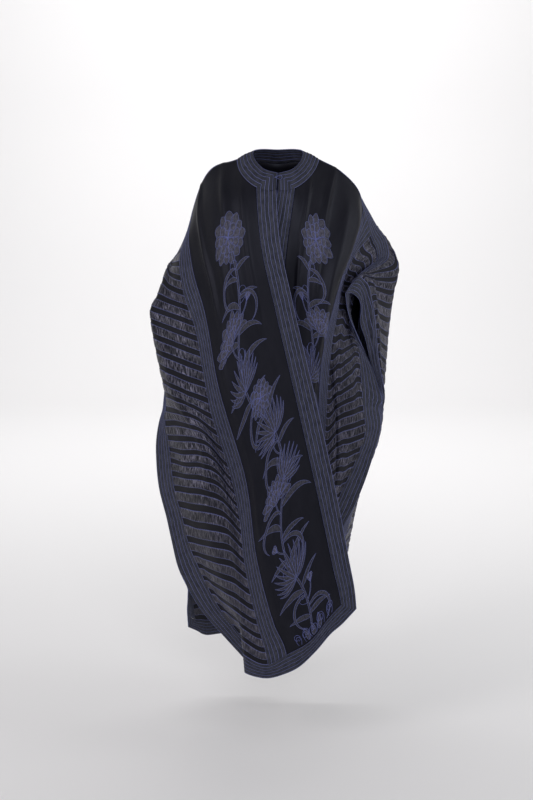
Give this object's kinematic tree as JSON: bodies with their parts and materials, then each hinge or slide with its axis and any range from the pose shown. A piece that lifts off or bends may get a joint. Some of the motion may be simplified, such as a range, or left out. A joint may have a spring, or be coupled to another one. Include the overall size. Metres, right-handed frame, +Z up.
{
  "type": "djellaba",
  "caption": "Wide open-front robe, black with ribbed slate bands, crinkled striped side panels and flower applique, held in its worn fall.",
  "frame": {"origin": "base of the wearer's neck, in the middle between the shoulders, where the wearer holds the robe up", "axes": "+Z up, -Y the way the wearer faces, +X to the wearer's left"},
  "size_m": [0.6803, 0.4128, 1.4285],
  "materials": {
    "plain_crepe": "matte",
    "striped_crinkle": "satin",
    "ribbed_band": "satin"
  },
  "bodies": {
    "root": {"right_front_plain_panel": "plain_crepe", "right_front_striped_panel": "striped_crinkle", "right_front_edge_band": "ribbed_band", "right_front_inset_band": "ribbed_band", "right_front_side_band": "ribbed_band", "right_front_hem_band": "ribbed_band", "right_back_striped_panel": "striped_crinkle", "right_back_inset_band": "ribbed_band", "right_back_side_band": "ribbed_band", "right_shoulder_band": "ribbed_band", "left_front_plain_panel": "plain_crepe", "left_front_striped_panel": "striped_crinkle", "left_front_edge_band": "ribbed_band", "left_front_inset_band": "ribbed_band", "left_front_side_band": "ribbed_band", "left_front_hem_band": "ribbed_band", "left_back_striped_panel": "striped_crinkle", "left_back_inset_band": "ribbed_band", "left_back_side_band": "ribbed_band", "left_shoulder_band": "ribbed_band", "back_plain_panel": "plain_crepe", "back_hem_band": "ribbed_band", "neck_band": "ribbed_band", "neck_button": "ribbed_band"}
  },
  "joints": []
}
